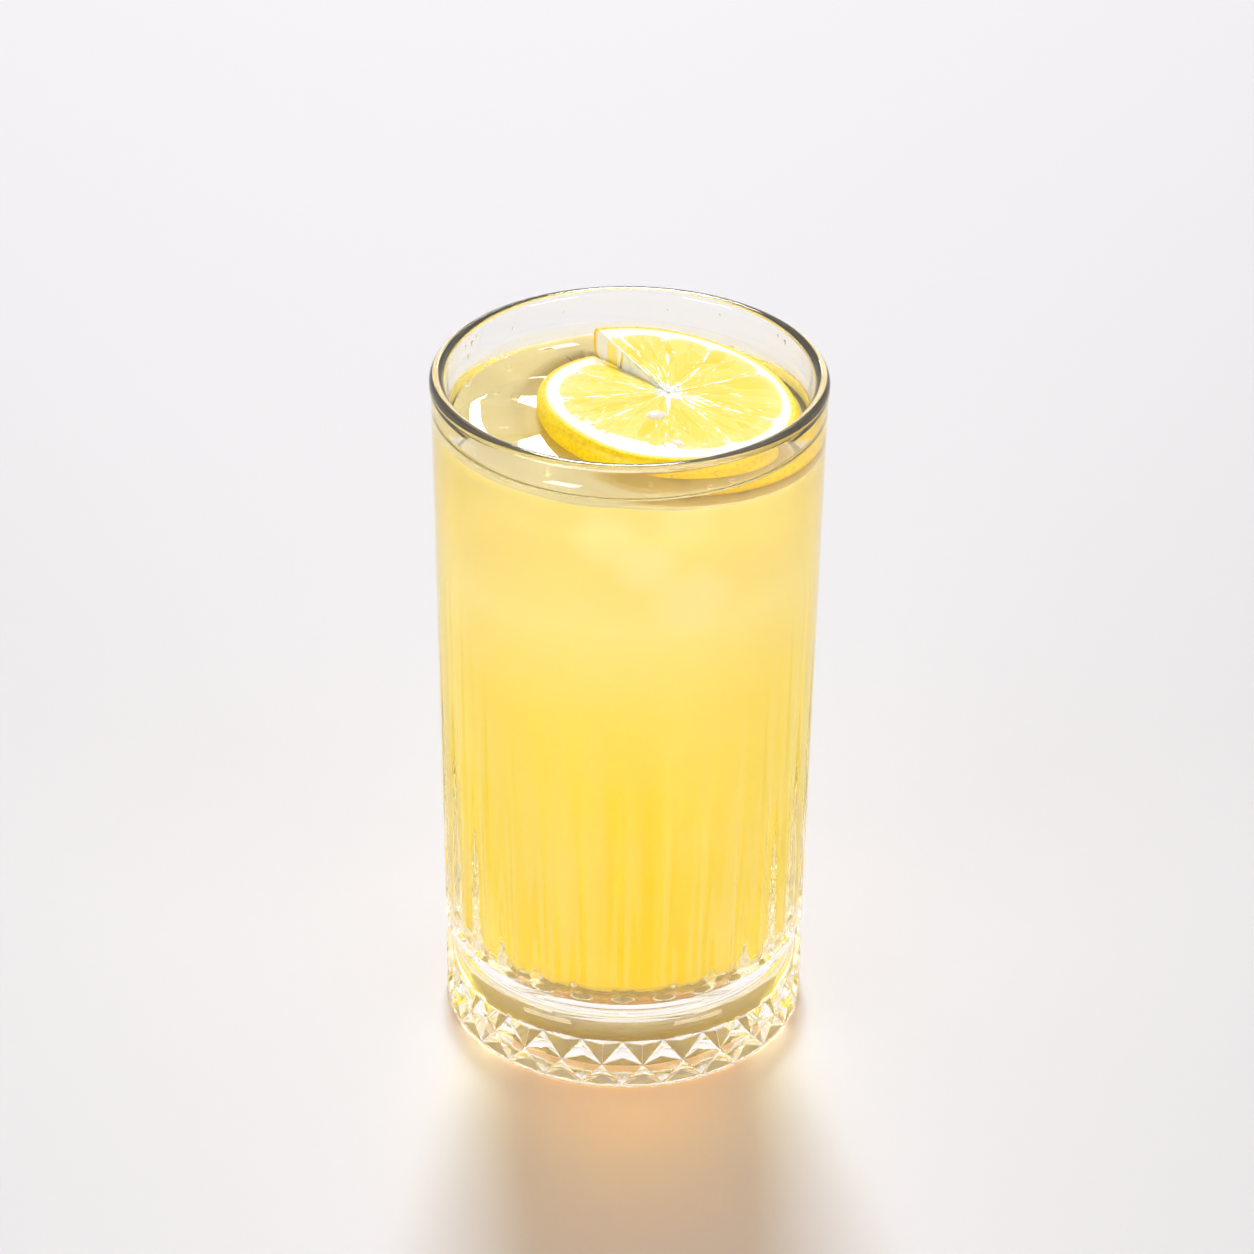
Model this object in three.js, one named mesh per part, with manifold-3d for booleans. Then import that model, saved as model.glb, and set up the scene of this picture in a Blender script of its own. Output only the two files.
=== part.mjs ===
// A tall glass of lemonade with a slice of lemon lying at the top of the drink.
// The tumbler is pressed glass: a heavy base with a band of faceted diamonds, a groove
// above the band, and shallow flutes that run up the wall and fade out below the rim.
// Millimetres, +Z up. The origin is the centre of the foot, and -Y is the front.

import * as THREE from 'three';
import { mergeVertices } from 'three/addons/utils/BufferGeometryUtils.js';
import { ConvexGeometry } from 'three/addons/geometries/ConvexGeometry.js';
import Module from 'manifold-3d';

// Tumbler, outside
const HEIGHT = 148;
const LIP_OUTER_RADIUS = 39.5;
const LIP_THICKNESS = 2.9;
const NECK_RADIUS = 39.25;
const NECK_Z = 143;
const WAIST_RADIUS = 38.6;
const WAIST_Z = 80;
const BODY_FOOT_RADIUS = 38.1;
const BODY_FOOT_Z = 20.7;
const GROOVE_RADIUS = 35.4;
const GROOVE_Z = 16.9;
const GROOVE_HOLLOW = 0.35;
const BAND_RADIUS = 38.1;
const BAND_TOP_Z = 12.3;
const FOOT_CHAMFER = 0.9;
const FOOT_RING_RADIUS = 31;
const UNDERSIDE_RISE = 1.2;

// Tumbler, inside
const INNER_RADIUS_AT_DRINK = 35.8;
const INNER_RADIUS_AT_FLOOR = 33.8;
const FLOOR_Z = 17;
const FLOOR_CORNER = 9;
const LIP_STEPS = 6;
const CORNER_STEPS = 4;

// Flutes and facets, all on one pitch round the tumbler
const REPEATS = 28;
const PITCH_ANGLE = (2 * Math.PI) / REPEATS;
const FRONT_ANGLE = -Math.PI / 2;
const COLUMNS_PER_REPEAT = 2;
const FLUTE_DEPTH = 1;
const FLUTE_CUTTER_RADIUS = 4;
const FLUTE_CUTTER_SIDES = 18;
const FLUTE_FOOT_Z = 22.5;
const FLUTE_FOOT_RISE = 0.7;
const FLUTE_FADE_Z = 102;
const FLUTE_CUTTER_TOP_Z = 112;
const DIAMOND_WAIST_Z = 6.2;
const DIAMOND_HOLLOW = 2;
const DIAMOND_APEX_Z = 6.6;
const TRIANGLE_HOLLOW = 1.6;
const UPPER_TRIANGLE_APEX_Z = 10.2;
const FACET_FOOT_Z = 1.1;
const LOWER_TRIANGLE_APEX_Z = 2.6;
const CUTTER_OVERSHOOT = 1.6;

// Lemonade
const GAP = 0.3;
const DRINK_LEVEL_Z = 139;
const MENISCUS_TOP_Z = 141.2;
const MENISCUS_REACH = 2;
const MENISCUS_STEPS = 4;

// Lemon slice
const SLICE_RADIUS = 26.3;
const SLICE_THICKNESS = 6;
const SLICE_X = 7.7;
const SLICE_Y = 1.2;
const SLICE_TOP_Z = 142;
const SLICE_SLOPE_X = -0.13;
const SLICE_SLOPE_Y = -0.035;
const SLICE_OVAL = 0.02;
const SLICE_OVAL_ANGLE = THREE.MathUtils.degToRad(127);
const SLICE_BULGE = 1.1;
const SLICE_BULGE_ANGLE = THREE.MathUtils.degToRad(252);
const SLICE_BULGE_SPREAD = THREE.MathUtils.degToRad(24);
const CORE_OFFSET_Y = 1.8;
const CORE_HOLE_RADIUS = 0.8;
const ROOM_HOLE_RADIUS = 0.2;
const SLIT_ANGLE = THREE.MathUtils.degToRad(125);
const SLIT_WIDTH_ANGLE = THREE.MathUtils.degToRad(1.6);
const SLIT_TWIST = 3.1;
const RIND_ROUNDING = 1.1;
const RIND_ROUNDING_POWER = 4;
const SLICE_STEPS_ROUND = 44;
const SLICE_STEPS_OUT = 4;
const SLICE_STEPS_THICK = 3;

// The room for the slice is cut in two halves that pass each other a little at both ends.
const FIRST_HALF = [-0.01, 0.52];
const SECOND_HALF = [0.48, 1.01];

const MERGE_DISTANCE = 1e-4;

const wasm = await Module();
wasm.setup();

function solidFrom(geometry) {
  const bare = geometry.index ? geometry.toNonIndexed() : geometry.clone();
  bare.deleteAttribute('normal');
  bare.deleteAttribute('uv');
  const merged = mergeVertices(bare, MERGE_DISTANCE);
  const mesh = new wasm.Mesh({
    numProp: 3,
    vertProperties: new Float32Array(merged.attributes.position.array),
    triVerts: new Uint32Array(merged.index.array),
  });
  return new wasm.Manifold(mesh);
}

function geometryFrom(solid) {
  const mesh = solid.getMesh();
  const geometry = new THREE.BufferGeometry();
  geometry.setAttribute('position', new THREE.BufferAttribute(mesh.vertProperties, 3));
  geometry.setIndex(new THREE.BufferAttribute(mesh.triVerts, 1));
  geometry.computeVertexNormals();
  return geometry;
}

// A closed profile of [radius, z] points turned about the Z axis.
function turned(profile, columns) {
  const points = profile.map(([radius, z]) => new THREE.Vector2(Math.max(radius, 0), z));
  const geometry = new THREE.LatheGeometry(points, columns, 0, 2 * Math.PI);
  geometry.rotateX(Math.PI / 2);
  return geometry;
}

// Points on an arc of an ellipse, from one angle to another in equal steps.
function arc(centre, radii, fromAngle, toAngle, steps) {
  return Array.from({ length: steps + 1 }, (_, step) => {
    const angle = fromAngle + ((toAngle - fromAngle) * step) / steps;
    return [centre[0] + radii[0] * Math.cos(angle), centre[1] + radii[1] * Math.sin(angle)];
  });
}

// A point at a radius, an angle round the tumbler and a height.
function around(radius, angle, z) {
  return new THREE.Vector3(radius * Math.cos(angle), radius * Math.sin(angle), z);
}

// The rounded corner where the floor turns up into the inner wall, held off the glass by a gap.
function floorCorner(gap) {
  const centre = [INNER_RADIUS_AT_FLOOR - FLOOR_CORNER, FLOOR_Z + FLOOR_CORNER];
  const radius = FLOOR_CORNER - gap;
  return arc(centre, [radius, radius], -Math.PI / 2, 0, CORNER_STEPS);
}

function tumblerBlank() {
  const lipCentre = [LIP_OUTER_RADIUS - LIP_THICKNESS / 2, HEIGHT - LIP_THICKNESS / 2];
  const lipRadii = [LIP_THICKNESS / 2, LIP_THICKNESS / 2];
  const grooveUpper = [
    (GROOVE_RADIUS + BODY_FOOT_RADIUS) / 2 - GROOVE_HOLLOW,
    (GROOVE_Z + BODY_FOOT_Z) / 2 + GROOVE_HOLLOW,
  ];
  const grooveLower = [
    (GROOVE_RADIUS + BAND_RADIUS) / 2 - GROOVE_HOLLOW,
    (GROOVE_Z + BAND_TOP_Z) / 2 - GROOVE_HOLLOW,
  ];
  return turned(
    [
      [0, UNDERSIDE_RISE],
      [FOOT_RING_RADIUS - UNDERSIDE_RISE, UNDERSIDE_RISE],
      [FOOT_RING_RADIUS, 0],
      [BAND_RADIUS - FOOT_CHAMFER, 0],
      [BAND_RADIUS, FOOT_CHAMFER],
      [BAND_RADIUS, BAND_TOP_Z],
      grooveLower,
      [GROOVE_RADIUS, GROOVE_Z],
      grooveUpper,
      [BODY_FOOT_RADIUS, BODY_FOOT_Z],
      [WAIST_RADIUS, WAIST_Z],
      [NECK_RADIUS, NECK_Z],
      ...arc(lipCentre, lipRadii, 0, Math.PI, LIP_STEPS),
      [INNER_RADIUS_AT_DRINK, MENISCUS_TOP_Z],
      ...floorCorner(0).reverse(),
      [0, FLOOR_Z],
    ],
    REPEATS * COLUMNS_PER_REPEAT,
  );
}

// A round bar with a bevelled foot, leaning so that it bites deepest at the bottom of the wall
// and leaves it where the flute fades out.
function fluteCutter(angle) {
  const length = FLUTE_CUTTER_TOP_Z - FLUTE_FOOT_Z;
  const bar = turned(
    [
      [0, 0],
      [FLUTE_CUTTER_RADIUS - FLUTE_DEPTH, 0],
      [FLUTE_CUTTER_RADIUS, FLUTE_FOOT_RISE],
      [FLUTE_CUTTER_RADIUS, length],
      [0, length],
    ],
    FLUTE_CUTTER_SIDES,
  );
  const wallShare = (FLUTE_FADE_Z - WAIST_Z) / (NECK_Z - WAIST_Z);
  const wallRadiusAtFade = WAIST_RADIUS + (NECK_RADIUS - WAIST_RADIUS) * wallShare;
  const bottomRadius = BODY_FOOT_RADIUS - FLUTE_DEPTH + FLUTE_CUTTER_RADIUS;
  const lean = Math.atan2(
    wallRadiusAtFade + FLUTE_CUTTER_RADIUS - bottomRadius,
    FLUTE_FADE_Z - FLUTE_FOOT_Z,
  );
  bar.rotateY(lean);
  bar.translate(bottomRadius, 0, FLUTE_FOOT_Z);
  bar.rotateZ(angle);
  return solidFrom(bar);
}

// A pyramid that is widest outside the band and comes to a point inside the glass.
function pyramidCutter(apex, corners) {
  const outer = corners.map((corner) => {
    return corner.clone().sub(apex).multiplyScalar(CUTTER_OVERSHOOT).add(apex);
  });
  return solidFrom(new ConvexGeometry([apex, ...outer]));
}

function diamondCutter(angle) {
  const apex = around(BAND_RADIUS - DIAMOND_HOLLOW, angle, DIAMOND_APEX_Z);
  return pyramidCutter(apex, [
    around(BAND_RADIUS, angle, BAND_TOP_Z),
    around(BAND_RADIUS, angle - PITCH_ANGLE / 2, DIAMOND_WAIST_Z),
    around(BAND_RADIUS, angle + PITCH_ANGLE / 2, DIAMOND_WAIST_Z),
    around(BAND_RADIUS, angle, FACET_FOOT_Z),
  ]);
}

function triangleCutter(angle, edgeZ, apexZ) {
  const apex = around(BAND_RADIUS - TRIANGLE_HOLLOW, angle, apexZ);
  return pyramidCutter(apex, [
    around(BAND_RADIUS, angle - PITCH_ANGLE / 2, edgeZ),
    around(BAND_RADIUS, angle + PITCH_ANGLE / 2, edgeZ),
    around(BAND_RADIUS, angle, DIAMOND_WAIST_Z),
  ]);
}

function makeGlass() {
  const cutters = [];
  for (let repeat = 0; repeat < REPEATS; repeat += 1) {
    const angle = FRONT_ANGLE + repeat * PITCH_ANGLE;
    const between = angle + PITCH_ANGLE / 2;
    cutters.push(fluteCutter(angle));
    cutters.push(diamondCutter(angle));
    cutters.push(triangleCutter(between, BAND_TOP_Z, UPPER_TRIANGLE_APEX_Z));
    cutters.push(triangleCutter(between, FACET_FOOT_Z, LOWER_TRIANGLE_APEX_Z));
  }
  return geometryFrom(solidFrom(tumblerBlank()).subtract(wasm.Manifold.union(cutters)));
}

// Half of the slit's twist goes up on one side of the slit and half down on the other, and it
// dies away to nothing on the far side of the slice. `turn` runs from 0 to 1 round the slice.
function twistHeight(turn) {
  return SLIT_TWIST * Math.cos(Math.PI * turn);
}

// The slice is a little oval, and its rim swells out at the front.
function rimRadius(angle) {
  const oval = 1 + SLICE_OVAL * Math.cos(2 * (angle - SLICE_OVAL_ANGLE));
  const away = Math.abs(THREE.MathUtils.euclideanModulo(angle - SLICE_BULGE_ANGLE, 2 * Math.PI));
  const nearest = Math.min(away, 2 * Math.PI - away) / SLICE_BULGE_SPREAD;
  return SLICE_RADIUS * oval + SLICE_BULGE * Math.exp(-nearest * nearest);
}

// A box bent round into a wheel whose two ends stay apart at the slit. `grow` makes it larger
// all over, and `from` and `to` say which part of the turn it covers.
function sliceWheel(grow, [from, to], holeRadius) {
  const steps = Math.ceil(SLICE_STEPS_ROUND * (to - from));
  const box = new THREE.BoxGeometry(1, 1, 1, SLICE_STEPS_OUT, steps, SLICE_STEPS_THICK);
  const position = box.attributes.position;
  for (let index = 0; index < position.count; index += 1) {
    const out = position.getX(index) + 0.5;
    const turn = from + (position.getY(index) + 0.5) * (to - from);
    const level = position.getZ(index) * 2;
    const openAngle = 2 * Math.PI - SLIT_WIDTH_ANGLE;
    const angle = SLIT_ANGLE - SLIT_WIDTH_ANGLE / 2 - turn * openAngle;
    const rounding = RIND_ROUNDING * level ** RIND_ROUNDING_POWER;
    const rim = rimRadius(angle) + grow - (out === 1 ? rounding : 0);
    const radius = holeRadius + (rim - holeRadius) * Math.sqrt(out);
    const coreShift = CORE_OFFSET_Y * Math.max(1 - radius / (SLICE_RADIUS + grow), 0);
    const x = radius * Math.cos(angle);
    const y = radius * Math.sin(angle) + coreShift;
    const thickness = level * (SLICE_THICKNESS / 2 + grow);
    const reach = Math.min(radius / SLICE_RADIUS, 1);
    const middle = SLICE_TOP_Z - SLICE_THICKNESS / 2 + twistHeight(turn) * reach;
    const z = middle + thickness + SLICE_SLOPE_X * x + SLICE_SLOPE_Y * y;
    position.setXYZ(index, SLICE_X + x, SLICE_Y + y, z);
  }
  return box;
}

function turnedOutward(geometry) {
  const solid = solidFrom(geometry);
  if (solid.volume() > 0) return solid;
  const index = geometry.index;
  for (let corner = 0; corner < index.count; corner += 3) {
    const first = index.getX(corner);
    index.setX(corner, index.getX(corner + 1));
    index.setX(corner + 1, first);
  }
  return solidFrom(geometry);
}

function makeSlice() {
  return geometryFrom(turnedOutward(sliceWheel(0, [0, 1], CORE_HOLE_RADIUS)));
}

// The drink fills the tumbler to its level, curls up at the wall, and makes room for the slice.
function makeLemonade() {
  const wallAtDrink = INNER_RADIUS_AT_DRINK - GAP;
  const curl = arc(
    [wallAtDrink - MENISCUS_REACH, MENISCUS_TOP_Z],
    [MENISCUS_REACH, MENISCUS_TOP_Z - DRINK_LEVEL_Z],
    -Math.PI / 2,
    0,
    MENISCUS_STEPS,
  );
  const body = turned(
    [[0, FLOOR_Z + GAP], ...floorCorner(GAP), ...curl.reverse(), [0, DRINK_LEVEL_Z]],
    REPEATS * COLUMNS_PER_REPEAT,
  );
  const room = turnedOutward(sliceWheel(GAP, FIRST_HALF, ROOM_HOLE_RADIUS)).add(
    turnedOutward(sliceWheel(GAP, SECOND_HALF, ROOM_HOLE_RADIUS)),
  );
  return geometryFrom(solidFrom(body).subtract(room));
}

const clearGlass = new THREE.MeshStandardMaterial({
  color: 0xf2f2f4,
  roughness: 0.03,
  metalness: 0,
  transparent: true,
  opacity: 0.35,
});
const cloudyLemonade = new THREE.MeshStandardMaterial({ color: 0xfbdd52, roughness: 0.1, metalness: 0 });
const lemonFlesh = new THREE.MeshStandardMaterial({ color: 0xfde56a, roughness: 0.35, metalness: 0 });

function named(name, geometry, material) {
  const mesh = new THREE.Mesh(geometry, material);
  mesh.name = name;
  return mesh;
}

const glassOfLemonade = new THREE.Group();
glassOfLemonade.add(named('glass', makeGlass(), clearGlass));
glassOfLemonade.add(named('lemonade', makeLemonade(), cloudyLemonade));
glassOfLemonade.add(named('lemon_slice', makeSlice(), lemonFlesh));

export default glassOfLemonade;
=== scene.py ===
# %% [markdown]
# A glass of lemonade, built as a lesson in Blender.
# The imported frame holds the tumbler, the drink and the lemon slice as plain solids in metres.
# Each is replaced here by a finer piece that keeps its size and its place.
# Sizes are written in millimetres and turned into metres when a point is made.

# %% Load the frame
import bpy
import bmesh
import math
import random
from mathutils import Matrix, Vector, noise


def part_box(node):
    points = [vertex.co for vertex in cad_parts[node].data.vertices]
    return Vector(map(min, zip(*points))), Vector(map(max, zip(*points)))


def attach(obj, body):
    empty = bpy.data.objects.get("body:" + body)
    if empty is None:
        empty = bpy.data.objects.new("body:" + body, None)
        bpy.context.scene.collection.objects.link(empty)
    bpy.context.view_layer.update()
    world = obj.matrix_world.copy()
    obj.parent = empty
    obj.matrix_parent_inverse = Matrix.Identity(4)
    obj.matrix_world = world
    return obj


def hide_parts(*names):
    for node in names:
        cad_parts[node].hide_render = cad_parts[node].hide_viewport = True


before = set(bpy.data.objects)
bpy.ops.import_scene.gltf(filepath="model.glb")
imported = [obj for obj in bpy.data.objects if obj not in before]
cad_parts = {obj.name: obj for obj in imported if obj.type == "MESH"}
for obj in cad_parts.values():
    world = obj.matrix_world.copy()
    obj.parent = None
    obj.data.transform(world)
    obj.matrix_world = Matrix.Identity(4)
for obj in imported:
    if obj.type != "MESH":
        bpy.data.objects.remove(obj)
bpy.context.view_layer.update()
glass_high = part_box("glass")[1]
MM = 0.001
HEIGHT = glass_high[2] / MM
LIP_OUTER = glass_high[0] / MM
print("the tumbler is", round(HEIGHT, 1), "mm tall and", round(2 * LIP_OUTER, 1), "mm across")

# %% [markdown]
# The camera stands in front of the glass and looks down at it.
# Its lens, distance and tilt were found by fitting the ellipses that the lip and the foot make.
# The picture was taken with the camera rolled by about half a degree, so this one is too.

# %% Camera
LENS_MM = 109.45
SENSOR_MM = 36.0
CAMERA_DISTANCE = 780.0
CAMERA_TILT = math.radians(31.08)
CAMERA_ROLL = 0.0107
AIM_HEIGHT = 89.4
NEAREST = 10.0

camera_data = bpy.data.cameras.new("camera")
camera_data.lens = LENS_MM
camera_data.sensor_width = SENSOR_MM
camera_data.clip_start = NEAREST * MM
camera = bpy.data.objects.new("camera", camera_data)
bpy.context.scene.collection.objects.link(camera)
aim = Vector((0.0, 0.0, AIM_HEIGHT))
backwards = Vector((0.0, -math.cos(CAMERA_TILT), math.sin(CAMERA_TILT)))
camera_place = (aim + backwards * CAMERA_DISTANCE) * MM
tip_up = Matrix.Rotation(math.pi / 2 - CAMERA_TILT, 4, "X")
camera.matrix_world = Matrix.Translation(camera_place) @ tip_up @ Matrix.Rotation(CAMERA_ROLL, 4, "Z")
bpy.context.scene.camera = camera
print("the camera stands at", [round(value, 3) for value in camera_place])

# %% [markdown]
# Materials are trees of nodes, so a few small helpers keep the later cells short.
# One starts a material, one fills sockets with values or with links, one adds a node, and one
# turns a colour as seen on a screen, from 0 to 255, into the linear numbers that light adds up in.

# %% Helpers for materials
def new_material(name):
    material = bpy.data.materials.new(name)
    material.use_nodes = True
    return material, material.node_tree, material.node_tree.nodes["Principled BSDF"]


def feed(tree, node, inputs):
    for key, value in inputs.items():
        if isinstance(value, bpy.types.NodeSocket):
            tree.links.new(value, node.inputs[key])
        else:
            node.inputs[key].default_value = value


def add(tree, kind, inputs=None, **settings):
    node = tree.nodes.new("ShaderNode" + kind)
    for key, value in settings.items():
        setattr(node, key, value)
    feed(tree, node, inputs or {})
    return node


def here(tree):
    return add(tree, "TexCoord").outputs["Object"]


def linear(red, green, blue):
    def one(value):
        share = value / 255.0
        return share / 12.92 if share <= 0.04045 else ((share + 0.055) / 1.055) ** 2.4
    return (one(red), one(green), one(blue), 1.0)


print("middle grey on the screen is", round(linear(128, 128, 128)[0], 3), "in linear light")

# %% [markdown]
# The floor is a wide, plain, pale sheet, kept darker than white paper so that the pith, which
# is paler still, turns fully white. It lies a tenth of a millimetre below the glass, because
# real glass stands on a few high points with air between, and that film mirrors the base.

# %% Floor
FLOOR_HALF_WIDTH = 3.0
FLOOR_COLOUR = (0.66, 0.64, 0.65, 1.0)
FLOOR_ROUGHNESS = 0.55
AIR_FILM = 0.1

floor_bm = bmesh.new()
under_the_glass = Matrix.Translation((0.0, 0.0, -AIR_FILM * MM))
bmesh.ops.create_grid(
    floor_bm, x_segments=1, y_segments=1, size=FLOOR_HALF_WIDTH, matrix=under_the_glass,
)
floor_mesh = bpy.data.meshes.new("floor")
floor_bm.to_mesh(floor_mesh)
floor_bm.free()
floor = bpy.data.objects.new("floor", floor_mesh)
bpy.context.scene.collection.objects.link(floor)
floor_material, floor_tree, floor_shader = new_material("pale_floor")
feed(floor_tree, floor_shader, {"Base Color": FLOOR_COLOUR, "Roughness": FLOOR_ROUGHNESS})
floor.data.materials.append(floor_material)
print("the floor is", 2 * FLOOR_HALF_WIDTH, "m wide")

# %% [markdown]
# Glass has no colour of its own: it shows the room, bent and mirrored.
# So the world is a soft gradient, brightest at the horizon, like pale walls all round.
# What the glass mirrors and bends is kept brighter than what lights the floor, as a
# photographer does with white cards beside a bottle. A path that has already met the floor
# or the drink gets the dimmer room, also through glass, and that keeps the shadow deep.

# %% World
HORIZON_Z = 0.25
ZENITH_Z = 0.6
ROOM_LIGHT = ((0.76, 0.75, 0.75, 1.0), (0.21, 0.205, 0.2, 1.0))
ROOM_SEEN = ((1.02, 1.0, 0.99, 1.0), (0.92, 0.9, 0.89, 1.0))

world = bpy.data.worlds.new("studio")
bpy.context.scene.world = world
world.use_nodes = True
sky = world.node_tree
direction = add(sky, "TexCoord").outputs["Generated"]
height = add(sky, "SeparateXYZ", {0: direction}).outputs["Z"]
sky_colours = add(sky, "Mix", data_type="RGBA")
for socket, (horizon, zenith) in ((6, ROOM_LIGHT), (7, ROOM_SEEN)):
    ramp = add(sky, "ValToRGB", {0: height})
    ramp.color_ramp.elements[0].position = HORIZON_Z
    ramp.color_ramp.elements[0].color = horizon
    ramp.color_ramp.elements[1].position = ZENITH_Z
    ramp.color_ramp.elements[1].color = zenith
    sky.links.new(ramp.outputs[0], sky_colours.inputs[socket])
ray = add(sky, "LightPath").outputs
mirrored_or_bent = {0: ray["Is Glossy Ray"], 1: ray["Is Transmission Ray"]}
through_glass = add(sky, "Math", mirrored_or_bent, operation="MAXIMUM").outputs[0]
first_look = add(sky, "Math", {0: ray["Diffuse Depth"], 1: 0.5}, operation="LESS_THAN").outputs[0]
bright_room = add(sky, "Math", {0: through_glass, 1: first_look}, operation="MULTIPLY")
sky.links.new(bright_room.outputs[0], sky_colours.inputs[0])
feed(sky, sky.nodes["Background"], {"Color": sky_colours.outputs[2]})
print("the world has", len(sky.nodes), "nodes")

# %% [markdown]
# One large window high behind the glass makes the shadow that falls towards the camera.
# It is hidden from rays that come out of glass. They would add its light a second time, on
# top of what passes straight through, and the foot and the floor round it would burn out.
# Two low, wide panels in front light the upright wall of the glass and leave the floor alone.
# A tiny bright pane low behind the glass is mirrored by the drink as a white patch.

# %% Lamps
def area_lamp(name, place, aim_at, size, watts, colour=(1.0, 1.0, 1.0)):
    data = bpy.data.lights.new(name, "AREA")
    data.shape = "RECTANGLE"
    data.size, data.size_y = size
    data.energy = watts
    data.color = colour
    lamp = bpy.data.objects.new(name, data)
    bpy.context.scene.collection.objects.link(lamp)
    towards = Vector(aim_at) - Vector(place)
    lamp.rotation_euler = towards.to_track_quat("-Z", "Y").to_euler()
    lamp.location = place
    return lamp


GLASS_MIDDLE = (0.0, 0.0, 0.06)
DRINK_SURFACE = (0.0, 0.0, 0.139)
WINDOW_PLACE = (-0.15, 2.9, 3.5)
WINDOW_SIZE = (0.95, 0.95)
WINDOW_WATTS = 178.0
WINDOW_COLOUR = (0.98, 1.0, 1.03)
PANEL_PLACE = (2.1, -1.9, 0.6)
PANEL_SIZE = (1.6, 0.9)
PANEL_WATTS = 25.0
PANEL_COLOUR = (1.05, 1.0, 0.9)
PANE_PLACE = (-0.086, 2.63, 1.56)
PANE_SIZE = (0.045, 0.085)
PANE_WATTS = 0.35
BOUNCES = 20
DIFFUSE_BOUNCES = 2

window = area_lamp("window", WINDOW_PLACE, GLASS_MIDDLE, WINDOW_SIZE, WINDOW_WATTS, WINDOW_COLOUR)
window.visible_transmission = False
for side in (-1, 1):
    panel_place = (side * PANEL_PLACE[0], PANEL_PLACE[1], PANEL_PLACE[2])
    area_lamp("panel", panel_place, GLASS_MIDDLE, PANEL_SIZE, PANEL_WATTS, PANEL_COLOUR)
area_lamp("pane", PANE_PLACE, DRINK_SURFACE, PANE_SIZE, PANE_WATTS)
scene = bpy.context.scene
scene.view_settings.view_transform = "Standard"
scene.cycles.use_denoising = True
scene.cycles.max_bounces = BOUNCES
scene.cycles.transmission_bounces = BOUNCES
scene.cycles.glossy_bounces = BOUNCES
scene.cycles.transparent_max_bounces = BOUNCES
scene.cycles.diffuse_bounces = DIFFUSE_BOUNCES

# %% [markdown]
# The tumbler is pressed glass: a hot gob is pushed into a mould by a plunger.
# The mould gives the outside its foot band of diamonds, the groove above it and the flutes,
# and the plunger gives the smooth inside with its round corner at the floor.
# The outside repeats 28 times, so only one twenty-eighth is made and then spun round.

# %% Tumbler sizes
LIP_THICK = 2.9
NECK = (39.25, 143.0)
WAIST = (38.6, 80.0)
BODY_FOOT = (38.1, 20.7)
GROOVE = (35.4, 16.9)
GROOVE_PULL_UP = (35.6, 19.7)
GROOVE_PULL_DOWN = (35.7, 13.4)
BAND_TOP = (38.1, 12.3)
BAND_FOOT_Z = 1.1
FOOT_CHAMFER = 0.9
FOOT_RING = 31.0
UNDERSIDE_RISE = 1.2
INNER_AT_DRINK = (35.8, 141.2)
INNER_AT_FLOOR = 33.8
FLOOR_Z = 17.0
FLOOR_CORNER = 9.0
FLOOR_MIDDLE = 12.0
REPEATS = 28
PITCH = 2 * math.pi / REPEATS


def steps_between(start, end, count):
    return [start + (end - start) * step / count for step in range(count)]


def arc(centre, radius, start, end, count):
    return [
        (centre[0] + radius * math.cos(angle), centre[1] + radius * math.sin(angle))
        for angle in steps_between(start, end, count) + [end]
    ]


def bend(start, pull, end, count):
    """A curve from start towards pull and on to end, both ends included."""
    points = []
    for t in steps_between(0.0, 1.0, count) + [1.0]:
        weights = ((1 - t) ** 2, 2 * t * (1 - t), t * t)
        points.append(tuple(sum(w * p[i] for w, p in zip(weights, (start, pull, end))) for i in (0, 1)))
    return points


def smooth(low, high, value):
    share = min(max((value - low) / (high - low), 0.0), 1.0)
    return share * share * (3.0 - 2.0 * share)


def inner_wall(z):
    foot_z = FLOOR_Z + FLOOR_CORNER
    share = (z - foot_z) / (INNER_AT_DRINK[1] - foot_z)
    return INNER_AT_FLOOR + (INNER_AT_DRINK[0] - INNER_AT_FLOOR) * share


print("one repeat is", round(math.degrees(PITCH), 2), "degrees wide")

# %% [markdown]
# A flute is a shallow hollow, as if a round bar had been pressed into the wall.
# The bar leans, so it bites a millimetre deep at the bottom and leaves the wall at 102 mm.
# The radius of the wall is worked out point by point from that bar, and the ridge where two
# flutes meet is softened, because pressed glass never has a knife edge.

# %% Flutes and the outline
FLUTE_DEPTH = 1.0
FLUTE_BAR_RADIUS = 4.0
FLUTE_FOOT_Z = 22.5
FLUTE_FOOT_RISE = 0.7
FLUTE_FADE_Z = 102.0
FLUTE_TOP_Z = 110.0
RIDGE_SOFTNESS = 0.15
LOWEST_RISE = -3.0
CURVE_STEPS = 7
FOOT_STEPS = 4
LIP_STEPS = 14
CORNER_STEPS = 10
FLUTE_STEPS = 26
FLUTE_FOOT_STEPS = 10


def wall_radius(z):
    low, high = (BODY_FOOT, WAIST) if z < WAIST[1] else (WAIST, NECK)
    return low[0] + (high[0] - low[0]) * (z - low[1]) / (high[1] - low[1])


def smooth_min(first, second, softness):
    near = max(softness - abs(first - second), 0.0) / softness
    return min(first, second) - near * near * softness / 4


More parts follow.
